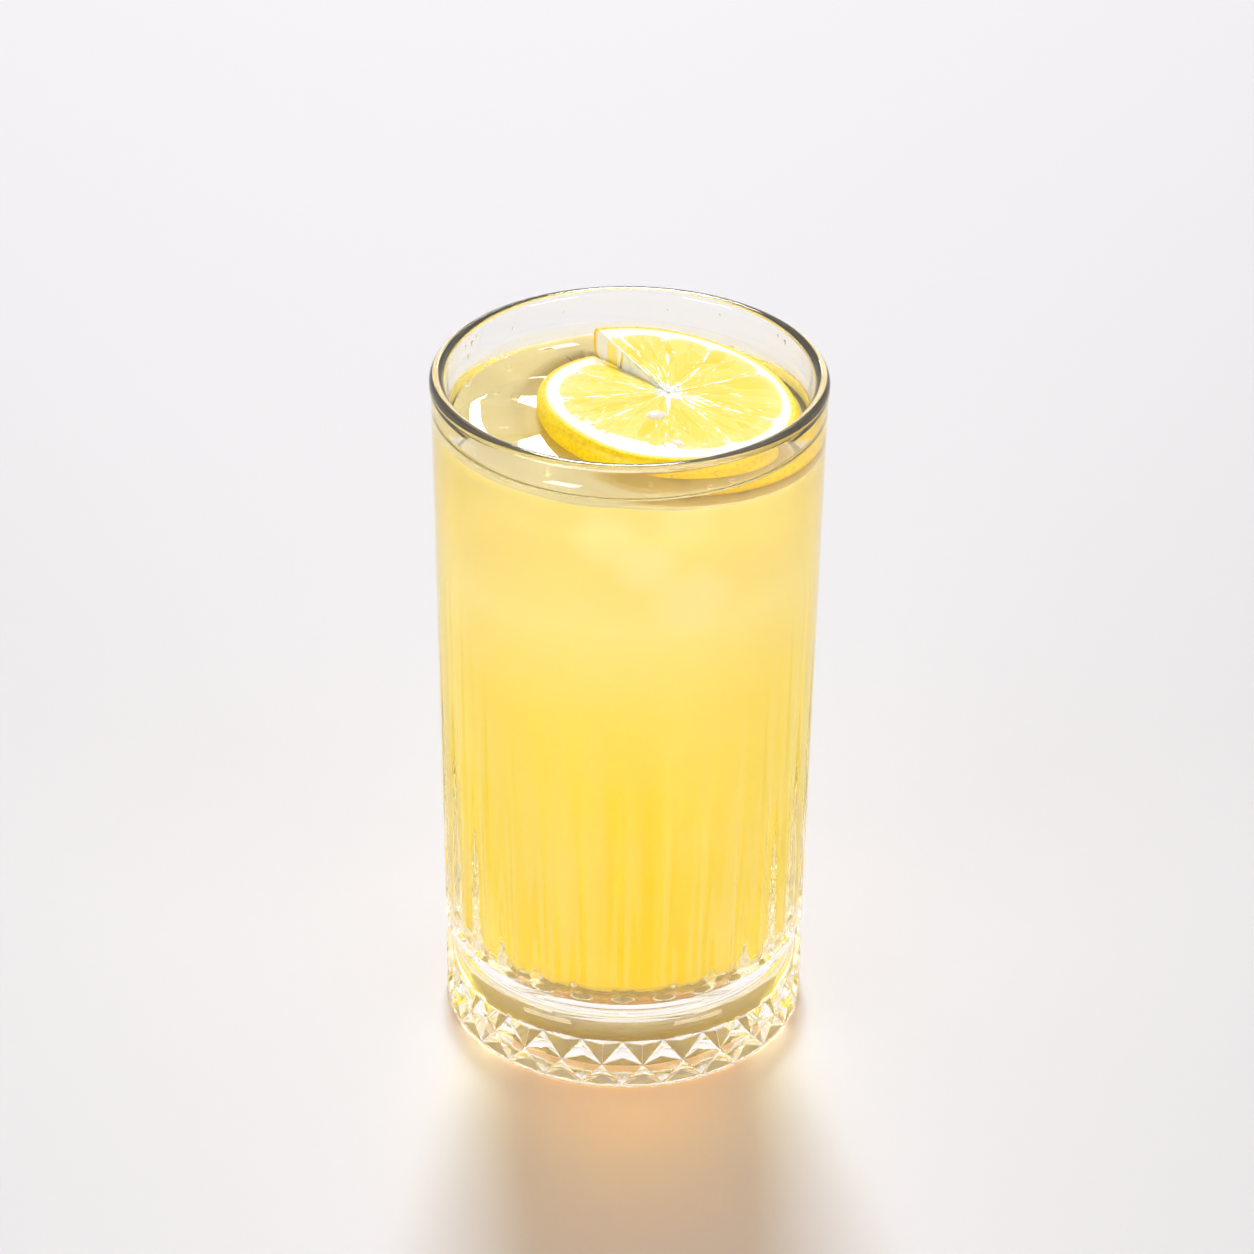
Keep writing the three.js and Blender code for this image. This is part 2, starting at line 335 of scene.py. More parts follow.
def fluted_radius(radius, angle_off, z):
    bottom = BODY_FOOT[0] - FLUTE_DEPTH + FLUTE_BAR_RADIUS
    top = wall_radius(FLUTE_FADE_Z) + FLUTE_BAR_RADIUS
    axis = bottom + (top - bottom) * (z - FLUTE_FOOT_Z) / (FLUTE_FADE_Z - FLUTE_FOOT_Z)
    rise = min(max((z - FLUTE_FOOT_Z) / FLUTE_FOOT_RISE, LOWEST_RISE), 1.0)
    bar = FLUTE_BAR_RADIUS - FLUTE_DEPTH * (1.0 - rise)
    sideways = radius * math.sin(angle_off)
    if abs(sideways) >= bar or z > FLUTE_TOP_Z:
        return radius
    cut = (axis - math.sqrt(bar ** 2 - sideways ** 2)) / math.cos(angle_off)
    return smooth_min(radius, cut, RIDGE_SOFTNESS)


def outer_profile():
    flute_foot_low = FLUTE_FOOT_Z - FLUTE_FOOT_RISE
    flute_foot_high = FLUTE_FOOT_Z + 2 * FLUTE_FOOT_RISE
    heights = [BODY_FOOT[1] + (flute_foot_low - BODY_FOOT[1]) / 2]
    heights += steps_between(flute_foot_low, flute_foot_high, FLUTE_FOOT_STEPS)
    heights += steps_between(flute_foot_high, FLUTE_TOP_Z, FLUTE_STEPS)
    heights += [FLUTE_TOP_Z, (FLUTE_TOP_Z + NECK[1]) / 2, NECK[1]]
    lip = (LIP_OUTER - LIP_THICK / 2, HEIGHT - LIP_THICK / 2)
    corner = (INNER_AT_FLOOR - FLOOR_CORNER, FLOOR_Z + FLOOR_CORNER)
    middle_z = (INNER_AT_DRINK[1] + corner[1]) / 2
    points = bend(BAND_TOP, GROOVE_PULL_DOWN, GROOVE, CURVE_STEPS)
    points += bend(GROOVE, GROOVE_PULL_UP, BODY_FOOT, CURVE_STEPS)[1:]
    points += [(wall_radius(z), z) for z in heights]
    points += arc(lip, LIP_THICK / 2, 0.0, math.pi, LIP_STEPS)
    points += [INNER_AT_DRINK, (inner_wall(middle_z), middle_z)]
    points += arc(corner, FLOOR_CORNER, 0.0, -math.pi / 2, CORNER_STEPS)
    return points + [(FLOOR_MIDDLE, FLOOR_Z), (0.0, FLOOR_Z)]


def underside_profile():
    chamfer = (BAND_TOP[0], 0.0)
    ring_pull = (FOOT_RING, UNDERSIDE_RISE)
    points = [(0.0, UNDERSIDE_RISE), (FLOOR_MIDDLE, UNDERSIDE_RISE)]
    ring_start = (FOOT_RING - UNDERSIDE_RISE, UNDERSIDE_RISE)
    chamfer_start = (BAND_TOP[0] - FOOT_CHAMFER, 0.0)
    points += bend(ring_start, ring_pull, (FOOT_RING, 0.0), FOOT_STEPS)
    return points + bend(chamfer_start, chamfer, (BAND_TOP[0], BAND_FOOT_Z), FOOT_STEPS)


print("the outline has", len(outer_profile()) + len(underside_profile()), "points")

# %% [markdown]
# The outline is a chain of edges, and Spin sweeps it through one pitch.
# That leaves the band open, because its facets aren't a swept shape. They are filled in one by one:
# one point at the waist between two diamonds, and the pits that the diamonds and triangles sink to.

# %% One pitch of the tumbler
COLUMNS = 16
DIAMOND_WAIST_Z = 6.2
DIAMOND_HOLLOW = 2.0
DIAMOND_PIT_Z = 6.6
TRIANGLE_HOLLOW = 1.6
UPPER_PIT_Z = 10.2
LOWER_PIT_Z = 2.6
BODY_INSIDE = 37.0
SAME_POINT = 1e-7
SAME_HEIGHT = 1e-4


def chain(bm, points):
    verts = [bm.verts.new((radius * MM, 0.0, z * MM)) for radius, z in points]
    return verts + [bm.edges.new(pair) for pair in zip(verts, verts[1:])]


def around(radius, angle, z):
    return Vector((radius * math.cos(angle), radius * math.sin(angle), z)) * MM


def angle_of(vert):
    return math.atan2(vert.co.y, vert.co.x)


def ring_at(bm, z):
    level = [v for v in bm.verts if abs(v.co.z / MM - z) < SAME_HEIGHT]
    return sorted([v for v in level if v.co.xy.length / MM > BODY_INSIDE], key=angle_of)


unit = bmesh.new()
for profile in (outer_profile(), underside_profile()):
    bmesh.ops.spin(
        unit, geom=chain(unit, profile), cent=(0, 0, 0), axis=(0, 0, 1),
        angle=PITCH, steps=COLUMNS, use_duplicate=False,
    )
bmesh.ops.remove_doubles(unit, verts=unit.verts, dist=SAME_POINT)
for v in unit.verts:
    radius = v.co.xy.length / MM
    z = v.co.z / MM
    off = angle_of(v) - PITCH / 2
    if radius > BODY_INSIDE and BODY_FOOT[1] + MM < z < NECK[1]:
        v.co.xy = v.co.xy.normalized() * fluted_radius(radius, PITCH / 2 - abs(off), z) * MM
for z in (BAND_TOP[1], BAND_FOOT_Z):
    for v in ring_at(unit, z):
        flat = BAND_TOP[0] * math.cos(PITCH / 2) / math.cos(angle_of(v) - PITCH / 2)
        v.co.xy = v.co.xy.normalized() * flat * MM
print("one pitch has", len(unit.faces), "faces before the band is filled")

# %% [markdown]
# The facets are filled fan by fan, and Poke gives each triangle its pit.
# The finished pitch is spun 27 times more as a copy, and the seams are merged.
# The ridges of the band get a bevel a sixth of a millimetre wide, so that they catch the light.

# %% The band, the full turn and the bevel
pit_radius = BAND_TOP[0] - DIAMOND_HOLLOW
waist = unit.verts.new(around(BAND_TOP[0], PITCH / 2, DIAMOND_WAIST_Z))
left_pit = unit.verts.new(around(pit_radius, 0, DIAMOND_PIT_Z))
right_pit = unit.verts.new(around(pit_radius, PITCH, DIAMOND_PIT_Z))
top_ring = ring_at(unit, BAND_TOP[1])
foot_ring = ring_at(unit, BAND_FOOT_Z)
upper = unit.faces.new([waist] + top_ring[::-1])
lower = unit.faces.new([waist] + foot_ring)
unit.faces.new([top_ring[0], left_pit, waist])
unit.faces.new([left_pit, foot_ring[0], waist])
unit.faces.new([waist, right_pit, top_ring[-1]])
unit.faces.new([waist, foot_ring[-1], right_pit])
for face, pit_z in ((upper, UPPER_PIT_Z), (lower, LOWER_PIT_Z)):
    made = bmesh.ops.poke(unit, faces=[face], offset=0.0, center_mode="MEAN")
    made["verts"][0].co = around(BAND_TOP[0] - TRIANGLE_HOLLOW, PITCH / 2, pit_z)

facing_front = Matrix.Rotation(-math.pi / 2, 3, "Z")
bmesh.ops.rotate(unit, verts=unit.verts, cent=(0, 0, 0), matrix=facing_front)
bmesh.ops.spin(
    unit, geom=unit.verts[:] + unit.edges[:] + unit.faces[:], cent=(0, 0, 0), axis=(0, 0, 1),
    angle=2 * math.pi - PITCH, steps=REPEATS - 1, use_duplicate=True,
)
SEAM_GAP = 2e-6
bmesh.ops.remove_doubles(unit, verts=unit.verts, dist=SEAM_GAP)
bmesh.ops.recalc_face_normals(unit, faces=unit.faces)
open_edges = [edge for edge in unit.edges if len(edge.link_faces) != 2]
print("the tumbler holds", round(unit.calc_volume() * 1e6, 1), "ml of glass")
print("it has", len(open_edges), "open edges")

RIDGE_ANGLE = 0.12
RIDGE_BEVEL = 0.16
BELOW_BAND = 0.1
ABOVE_BAND = 0.05


def on_the_band(low, high, radius):
    inside = BAND_FOOT_Z - BELOW_BAND < low and high < BAND_TOP[1] + ABOVE_BAND
    return radius > GROOVE[0] and inside


ridges = []
for edge in unit.edges:
    heights = sorted(v.co.z / MM for v in edge.verts)
    radius = min(v.co.xy.length for v in edge.verts) / MM
    if on_the_band(heights[0], heights[1], radius) and edge.calc_face_angle(0.0) > RIDGE_ANGLE:
        ridges.append(edge)
bmesh.ops.bevel(
    unit, geom=ridges, offset=RIDGE_BEVEL * MM, offset_type="OFFSET", segments=2, profile=0.5,
    affect="EDGES", clamp_overlap=True, material=-1,
)
print("bevelled", len(ridges), "ridges")

# %% [markdown]
# Every piece is finished in the same way: it becomes an object, rides on the one body of the
# part, and hides the plain solid it stands for. Edges sharper than 38 degrees stay crisp.
# Long thin faces beside a sharp edge would otherwise shade like a bent sheet.

# %% Finish a piece
SHARP_ANGLE = math.radians(38.0)


def finish_piece(name, bm, material, replaced):
    for edge in bm.edges:
        edge.smooth = edge.calc_face_angle(0.0) < SHARP_ANGLE
    mesh = bpy.data.meshes.new(name)
    bm.to_mesh(mesh)
    bm.free()
    mesh.polygons.foreach_set("use_smooth", [True] * len(mesh.polygons))
    piece = bpy.data.objects.new(name, mesh)
    bpy.context.scene.collection.objects.link(piece)
    mesh.materials.append(material)
    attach(piece, "root")
    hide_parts(replaced)
    print(name, "has", sum(len(p.vertices) - 2 for p in mesh.polygons), "triangles")
    return piece


# %% [markdown]
# Clear soda-lime glass has an index of refraction of 1.5 and hardly any colour.
# Real light passes through it to the floor, but a path tracer rarely finds that way to a lamp.
# So rays that look for a lamp meet a plain tinted pane instead, and all others meet the glass.
# The thick base bends most light aside, so there the pane is darker and tinted by the drink.

# %% Glass
CLEAR = (1.0, 1.0, 1.0)
GLASS_IOR = 1.5
GLASS_SHADOW = (0.96, 0.96, 0.95)
BASE_SHADOW = (0.74, 0.57, 0.33)
BASE_SHADOW_LOW_Z = 14.0
BASE_SHADOW_HIGH_Z = 20.0


def let_lamps_through(tree, shader, colour):
    is_lamp_ray = add(tree, "LightPath").outputs["Is Shadow Ray"]
    pane = add(tree, "BsdfTransparent", {"Color": (*colour, 1.0)})
    shaders = {0: is_lamp_ray, 1: shader.outputs[0], 2: pane.outputs[0]}
    mix = add(tree, "MixShader", shaders)
    feed(tree, tree.nodes["Material Output"], {"Surface": mix.outputs[0]})
    return pane


def clear_material(name, colour, roughness, ior, shadow_colour):
    material, tree, shader = new_material(name)
    feed(tree, shader, {"Base Color": (*colour, 1.0), "Roughness": roughness, "IOR": ior})
    feed(tree, shader, {"Transmission Weight": 1.0})
    pane = let_lamps_through(tree, shader, shadow_colour)
    return material, tree, pane


glass_material, glass_tree, glass_pane = clear_material("pressed_glass", CLEAR, 0.0, GLASS_IOR, CLEAR)
glass_height = add(glass_tree, "SeparateXYZ", {0: here(glass_tree)}).outputs["Z"]
base_limits = {"From Min": BASE_SHADOW_LOW_Z * MM, "From Max": BASE_SHADOW_HIGH_Z * MM}
above_base = add(glass_tree, "MapRange", {"Value": glass_height, **base_limits}).outputs[0]
pane_inputs = {0: above_base, 6: (*BASE_SHADOW, 1.0), 7: (*GLASS_SHADOW, 1.0)}
pane_colour = add(glass_tree, "Mix", pane_inputs, data_type="RGBA").outputs[2]
feed(glass_tree, glass_pane, {"Color": pane_colour})
tumbler = finish_piece("tumbler", unit, glass_material, "glass")
for polygon in tumbler.data.polygons:
    z = polygon.center.z / MM
    if on_the_band(z, z, polygon.center.xy.length / MM):
        polygon.use_smooth = False

# %% [markdown]
# The slice is a wheel of lemon, cut once from the rim to the core and twisted a little, so
# that one side of the cut stands above the other. It is a little oval and swells out at the
# front. The flat wheel comes first, and one function lays any of its points into the drink.

# %% Slice shapes
SLICE_RADIUS = 26.3
SLICE_THICKNESS = 6.0
SLICE_PLACE = (7.7, 1.2)
SLICE_TOP_Z = 142.0
SLICE_SLOPE = (-0.13, -0.035)
SLICE_OVAL = 0.02
SLICE_OVAL_ANGLE = 127.0
SLICE_BULGE = 1.1
SLICE_BULGE_ANGLE = 252.0
SLICE_BULGE_WIDTH = 24.0
CORE_OFFSET_Y = 1.8
SLIT_ANGLE = 125.0
SLIT_WIDTH_ANGLE = 1.6
SLIT_TWIST = 3.1
RIND_ROUNDING = 1.1
FLESH_RADIUS = 22.1
FLESH_OFFSET = 0.55
FLESH_OFFSET_ANGLE = 30.0
SCALLOP_DEPTH = 1.3
SCALLOP_WIDTH = 1.1
SCALLOP_SOFTNESS = 0.4
CORE_RADIUS = 1.9

# Each membrane starts at one angle at the rim and ends at another at the core.
MEMBRANES = ((117, 107), (91, 90), (67, 55), (33, 30), (342, 335), (304, 312),
             (268, 270), (223, 228), (189, 186), (150, 158), (131, 129))

# The core is a star: angle, reach and width of each arm.
CORE_ARMS = ((124, 2.3, 16), (60, 2.2, 16), (318, 1.7, 18), (270, 4.2, 8), (200, 0.5, 30), (15, 0.9, 14))


def turn_between(first, second):
    return (first - second + 180.0) % 360.0 - 180.0


def hump(degrees, centre, width):
    away = turn_between(degrees, centre) / width
    return math.exp(-away * away)


def rim_radius(degrees):
    oval = 1 + SLICE_OVAL * math.cos(math.radians(2 * (degrees - SLICE_OVAL_ANGLE)))
    return SLICE_RADIUS * oval + SLICE_BULGE * hump(degrees, SLICE_BULGE_ANGLE, SLICE_BULGE_WIDTH)


def flesh_radius(degrees):
    radius = FLESH_RADIUS + FLESH_OFFSET * math.cos(math.radians(degrees - FLESH_OFFSET_ANGLE))
    for rim_angle, core_angle in MEMBRANES:
        away = abs(math.radians(turn_between(degrees, rim_angle))) * FLESH_RADIUS / SCALLOP_WIDTH
        radius -= SCALLOP_DEPTH * math.exp(-away * away / (SCALLOP_SOFTNESS + away))
    return radius


def core_radius(degrees):
    return CORE_RADIUS + sum(reach * hump(degrees, angle, width) for angle, reach, width in CORE_ARMS)


def turn_from_slit(degrees):
    gone_round = (SLIT_ANGLE - degrees) % 360.0 - SLIT_WIDTH_ANGLE / 2
    return min(max(gone_round / (360.0 - SLIT_WIDTH_ANGLE), 0.0), 1.0)


def settle(flat):
    """Lay a point of the flat slice into its place in the drink."""
    radius = math.hypot(flat.x, flat.y)
    turn = turn_from_slit(math.degrees(math.atan2(flat.y, flat.x)))
    y = flat.y + CORE_OFFSET_Y * max(1.0 - radius / SLICE_RADIUS, 0.0)
    twist = SLIT_TWIST * math.cos(math.pi * turn) * min(radius / SLICE_RADIUS, 1.0)
    z = SLICE_TOP_Z - SLICE_THICKNESS / 2 + flat.z + twist
    z += SLICE_SLOPE[0] * flat.x + SLICE_SLOPE[1] * y
    return Vector((SLICE_PLACE[0] + flat.x, SLICE_PLACE[1] + y, z)) * MM


print("the rind is", round(rim_radius(0) - flesh_radius(0), 1), "mm thick at the right")

# %% [markdown]
# Cloudy lemonade scatters light, and a real volume of fog would be right but slow and noisy.
# So the drink is two pieces: a matt, opaque heart for the cloud, and round it a clear, faintly
# yellow layer, which gives the wet surface, the curl at the wall and the bright edges.
# The heart draws back from the wall towards the bottom, where the glass looks clear at the sides.

# %% Drink outlines
LEVEL = 139.0
WALL_OVERLAP = 0.15
CURL_REACH = 2.0
CURL_STEPS = 8
FLAT_SURFACE = 28.0
FLAT_STEPS = 8
HEART_TOP_Z = 138.4
HEART_FLOOR_Z = FLOOR_Z + 0.6
HEART_SHOULDER = 0.7
HEART_INSET_TOP = 0.25
HEART_INSET_FOOT = 7.5
HEART_WIDEST_Z = 128.0
HEART_LOW_Z = 26.0
HEART_FOOT_ROUND = 3.0
HEART_SIDE_STEPS = 34
HEART_TOP_STEPS = 28
HEART_FOOT_STEPS = 8
HEART_SHOULDER_STEPS = 6


def drink_profile():
    corner = (INNER_AT_FLOOR - FLOOR_CORNER, FLOOR_Z + FLOOR_CORNER)
    wall = INNER_AT_DRINK[0] + WALL_OVERLAP
    curl_z = INNER_AT_DRINK[1]
    points = [(0.0, FLOOR_Z - WALL_OVERLAP), (FLOOR_MIDDLE, FLOOR_Z - WALL_OVERLAP)]
    points += arc(corner, FLOOR_CORNER + WALL_OVERLAP, -math.pi / 2, 0.0, CORNER_STEPS)
    for angle in steps_between(0.0, math.pi / 2, CURL_STEPS) + [math.pi / 2]:
        reach = CURL_REACH * (1 - math.cos(angle))
        points.append((wall - reach, curl_z - (curl_z - LEVEL) * math.sin(angle)))
    return points + [(r, LEVEL) for r in steps_between(FLAT_SURFACE, 0.0, FLAT_STEPS)] + [(0.0, LEVEL)]


def heart_radius(z):
    drop = max(HEART_WIDEST_Z - z, 0.0) / (HEART_WIDEST_Z - HEART_LOW_Z)
    return inner_wall(z) - HEART_INSET_TOP - (HEART_INSET_FOOT - HEART_INSET_TOP) * drop ** 2


def heart_profile(shrink):
    foot = (heart_radius(HEART_LOW_Z) - HEART_FOOT_ROUND, HEART_FLOOR_Z + HEART_FOOT_ROUND)
    shoulder_z = HEART_TOP_Z - HEART_SHOULDER
    shoulder = (heart_radius(shoulder_z) - HEART_SHOULDER, shoulder_z)
    points = [(0.0, HEART_FLOOR_Z + shrink), (FLOOR_MIDDLE, HEART_FLOOR_Z + shrink)]
    points += arc(foot, HEART_FOOT_ROUND - shrink, -math.pi / 2, 0.0, HEART_FOOT_STEPS)
    for z in steps_between(HEART_LOW_Z, shoulder_z, HEART_SIDE_STEPS):
        points.append((heart_radius(z) - shrink, z))
    points += arc(shoulder, HEART_SHOULDER - shrink, 0.0, math.pi / 2, HEART_SHOULDER_STEPS)
    top_steps = steps_between(1.0, 0.0, HEART_TOP_STEPS)[1:] + [0.0]
    return points + [(shoulder[0] * share, HEART_TOP_Z - shrink) for share in top_steps]


def lathe(profile, steps):
    bm = bmesh.new()
    bmesh.ops.spin(
        bm, geom=chain(bm, profile), cent=(0, 0, 0), axis=(0, 0, 1),
        angle=2 * math.pi, steps=steps, use_merge=True,
    )
    bmesh.ops.remove_doubles(bm, verts=bm.verts, dist=SAME_POINT)
    bmesh.ops.recalc_face_normals(bm, faces=bm.faces)
    return bm


print("the heart is", round(2 * heart_radius(HEART_LOW_Z), 1), "mm across at the foot")

# %% [markdown]
# The slice dips into the drink, so the heart's top is lowered under it, with a smooth bank.
# In front, where the slice is seen through the wall of the glass, the heart draws back too,
# because there the liquid over the rind is thin enough to look through.

# %% Make room for the slice
ROOM_LOW_Z = 122.0
ROOM_UNDER = 0.5
ROOM_BANK = 4.0
ROOM_RIM = 1.4
ROOM_IN_FRONT = 9.0
RIPPLE_HEIGHT = 0.3
RIPPLE_SCALE = 0.09
FRONT_ANGLE_DEG = 292.0
FRONT_WIDTH_DEG = 46.0
HEART_COLUMNS = 160


def make_room(bm):
    for v in bm.verts:
        z = v.co.z / MM
        if z < ROOM_LOW_Z:
            continue
        x = v.co.x / MM - SLICE_PLACE[0]
        y = v.co.y / MM - SLICE_PLACE[1]
        radius = math.hypot(x, y)
        rim = min(1.0, SLICE_RADIUS / max(radius, 1.0))
        under = settle(Vector((x * rim, y * rim, -SLICE_THICKNESS / 2))).z / MM - ROOM_UNDER
        in_front = hump(math.degrees(math.atan2(v.co.y, v.co.x)), FRONT_ANGLE_DEG, FRONT_WIDTH_DEG)
        bank = ROOM_RIM + ROOM_BANK + ROOM_IN_FRONT * in_front
        near = 1.0 - smooth(SLICE_RADIUS + ROOM_RIM, SLICE_RADIUS + bank, radius)
        ripple = RIPPLE_HEIGHT * noise.noise(Vector((x, y, 0.0)) * RIPPLE_SCALE)
        drop = (under - HEART_TOP_Z) * near + ripple * (1 - near)
        share = (z - ROOM_LOW_Z) / (HEART_TOP_Z - ROOM_LOW_Z)
        v.co.z += drop * share * MM


heart = lathe(heart_profile(0.0), HEART_COLUMNS)
make_room(heart)
print("the heart has", len(heart.faces), "faces")

# %% [markdown]
# The clear layer is a closed shell: its outside reaches just into the wall of the glass, and
# its inside lies a tenth of a millimetre inside the heart, so no gap of air shows anywhere.
# The liquid absorbs a little blue, which is what makes thin lemonade pale yellow.

# %% Clear layer of the drink
HEART_OVERLAP = 0.1
LIQUID_IOR = 1.33
LIQUID_DENSITY = 24.0
LIQUID_COLOUR = (1.0, 0.91, 0.38, 1.0)
LIQUID_TINT = (1.0, 0.985, 0.92)
DRINK_COLUMNS = 224

liquid = lathe(heart_profile(HEART_OVERLAP), HEART_COLUMNS)
make_room(liquid)
bmesh.ops.reverse_faces(liquid, faces=liquid.faces)
outside = lathe(drink_profile(), DRINK_COLUMNS)
outside_mesh = bpy.data.meshes.new("drink_outside")
outside.to_mesh(outside_mesh)
outside.free()
liquid.from_mesh(outside_mesh)
bpy.data.meshes.remove(outside_mesh)
liquid_material, liquid_tree, _ = clear_material("lemonade_clear", LIQUID_TINT, 0.0, LIQUID_IOR, CLEAR)
absorbed = {"Color": LIQUID_COLOUR, "Density": LIQUID_DENSITY}
absorb = add(liquid_tree, "VolumeAbsorption", absorbed)
feed(liquid_tree, liquid_tree.nodes["Material Output"], {"Volume": absorb.outputs[0]})
finish_piece("lemonade_body", liquid, liquid_material, "lemonade")

# %% [markdown]
# The cloud is paler near the top, partly where ice melts into it and partly as painted light,
# and a full lemon yellow lower down. A ramp over height gives that. Its lowest stop is painted light
# from below, and its highest is painted shade at the top edge. Four pale patches stand for the ice just
# behind the wall.
# Faint upright streaks of painted light follow the flutes, which spread the light unevenly over the
# cloud.
# The level top and the shoulder face the window, so they get painted shade: their colour is kept darker
# than that of the sides.
# Three more helpers ease a value between limits, blend colours and do sums.

# %% Helpers for finer materials
def smooth_step(tree, value, low, high):
    limits = {"Value": value, "From Min": low, "From Max": high}
    return add(tree, "MapRange", limits, interpolation_type="SMOOTHSTEP").outputs["Result"]


def blend(tree, factor, first, second):
    return add(tree, "Mix", {0: factor, 6: first, 7: second}, data_type="RGBA").outputs[2]


def calc(tree, operation, first, second=0.0):
    return add(tree, "Math", {0: first, 1: second}, operation=operation).outputs[0]


def times(tree, first, second):
    return calc(tree, "MULTIPLY", first, second)


# %% The cloud
# Painted light and shade: the lowest stop is paler for light from below, the highest darker at the top
# edge.
CLOUD_STOPS = (
    (17.0, (255, 240, 150)),
    (21.0, (250, 223, 28)),
    (33.0, (251, 226, 37)),
    (62.0, (254, 230, 53)),
    (88.0, (255, 231, 76)),
    (110.0, (254, 236, 138)),
    (126.0, (248, 226, 124)),
    (137.5, (233, 213, 118)),
)
ICE_GHOSTS = (
    ((-4.0, -32.5, 131.0), 9.0, 0.35),
    ((10.0, -31.5, 134.0), 8.0, 0.2),
    ((3.1, -32.5, 125.0), 8.0, 0.5),
    ((11.3, -31.0, 116.0), 10.0, 0.35),
)
GHOST_COLOUR = linear(255, 240, 178)
FLUTE_LIGHT_COLOUR = linear(255, 236, 150)
STREAK_LOW_Z = 0.022
STREAK_HIGH_Z = 0.098
STREAK_STRENGTH = 0.38
STREAK_EDGES = (-0.5, 0.6)
GHOST_CORE = 0.35
SWIRL_SCALE = 38.0
SWIRL_EDGES = (0.35, 0.75)
SWIRL_STRENGTH = 0.12
TOP_PAINTED_SHADE = linear(187, 172, 124)
PAINTED_SHADE_FACING = (0.2, 0.7)
CLOUD_ROUGHNESS = 0.9
CLOUD_LAMPS = (0.5, 0.345, 0.06)

cloud_material, cloud, cloud_shader = new_material("lemonade_cloud")
place = add(cloud, "SeparateXYZ", {0: here(cloud)}).outputs
lowest = CLOUD_STOPS[0][0]
highest = CLOUD_STOPS[-1][0]
limits = {"Value": place["Z"], "From Min": lowest * MM, "From Max": highest * MM}
ramp = add(cloud, "ValToRGB", {0: add(cloud, "MapRange", limits).outputs[0]})
stops = ramp.color_ramp.elements
while len(stops) < len(CLOUD_STOPS):
    stops.new(0.5)
for stop, (z, rgb) in zip(stops, CLOUD_STOPS):
    stop.position = (z - lowest) / (highest - lowest)
    stop.color = linear(*rgb)
cloud_colour = ramp.outputs[0]

# Painted light: paler upright streaks, 28 round, strongest low down and gone by 98 mm.
azimuth = calc(cloud, "ARCTAN2", place["Y"], place["X"])
wave = calc(cloud, "SINE", times(cloud, azimuth, float(REPEATS)))
painted_flute_light = smooth_step(cloud, wave, *STREAK_EDGES)
painted_flute_light = times(cloud, painted_flute_light, smooth_step(cloud, place["Z"], STREAK_HIGH_Z, STREAK_LOW_Z))
cloud_colour = blend(cloud, times(cloud, painted_flute_light, STREAK_STRENGTH), cloud_colour, FLUTE_LIGHT_COLOUR)

for centre, reach, strength in ICE_GHOSTS:
    between = {0: here(cloud), 1: Vector(centre) * MM}
    gap = add(cloud, "VectorMath", between, operation="DISTANCE").outputs["Value"]
    patch = smooth_step(cloud, gap, reach * MM, GHOST_CORE * reach * MM)
    cloud_colour = blend(cloud, times(cloud, patch, strength), cloud_colour, GHOST_COLOUR)

# Painted shade: faces that look up, at the top and the shoulder, get a darker colour.
normal = add(cloud, "NewGeometry").outputs["Normal"]
facing_up = add(cloud, "SeparateXYZ", {0: normal}).outputs["Z"]
painted_shade_share = smooth_step(cloud, facing_up, *PAINTED_SHADE_FACING)
cloud_colour = blend(cloud, painted_shade_share, cloud_colour, TOP_PAINTED_SHADE)

swirl_inputs = {"Vector": here(cloud), "Scale": SWIRL_SCALE, "Detail": 3.0, "Roughness": 0.6}
swirl = add(cloud, "TexNoise", swirl_inputs).outputs["Fac"]
swirl_share = times(cloud, smooth_step(cloud, swirl, *SWIRL_EDGES), SWIRL_STRENGTH)
cloud_colour = blend(cloud, swirl_share, cloud_colour, GHOST_COLOUR)
feed(cloud, cloud_shader, {"Base Color": cloud_colour, "Roughness": CLOUD_ROUGHNESS})
feed(cloud, cloud_shader, {"Specular IOR Level": 0.0})
let_lamps_through(cloud, cloud_shader, CLOUD_LAMPS)
finish_piece("lemonade_cloud", heart, cloud_material, "lemonade")

# %% [markdown]
# The slice starts as a grid standing on edge: one side of its cross-section from core to rim.
# Spin sweeps it almost all the way round, and the two ends stay apart at the cut.
# Each point then gets its true radius and height. How far it is past the flesh, the core and
# the rim is stored on the mesh, because the material needs exactly those distances.

# %% Slice mesh
SLICE_COLUMNS = 300
SLICE_RINGS = 60
SLICE_LAYERS = 8
CORE_HOLE = 0.4
VESICLE_SINK = 0.22
VESICLE_SWELL = 0.2
VESICLE_SIZE = (0.13, 0.2, 4.0)
VESICLE_HIGHEST = 0.5
RELIEF_FADE = 0.9
ROUNDING_POWER = 4
RIM_SHARE = 0.9
ON_A_FACE = 0.999

slice_bm = bmesh.new()
bmesh.ops.create_grid(slice_bm, x_segments=SLICE_RINGS, y_segments=SLICE_LAYERS, size=1.0)
for v in slice_bm.verts:
    out = (v.co.x + 1) / 2
    v.co = Vector((CORE_HOLE + (SLICE_RADIUS - CORE_HOLE) * out, 0.0, math.sin(v.co.y * math.pi / 2)))
slit_side = Matrix.Rotation(math.radians(SLIT_ANGLE - SLIT_WIDTH_ANGLE / 2), 3, "Z")
whole_turn = -math.radians(360.0 - SLIT_WIDTH_ANGLE)
bmesh.ops.rotate(slice_bm, verts=slice_bm.verts, cent=(0, 0, 0), matrix=slit_side)
bmesh.ops.spin(
    slice_bm, geom=slice_bm.faces[:] + slice_bm.edges[:] + slice_bm.verts[:], cent=(0, 0, 0),
    axis=(0, 0, 1), angle=whole_turn, steps=SLICE_COLUMNS, use_duplicate=False,
)
bmesh.ops.recalc_face_normals(slice_bm, faces=slice_bm.faces)


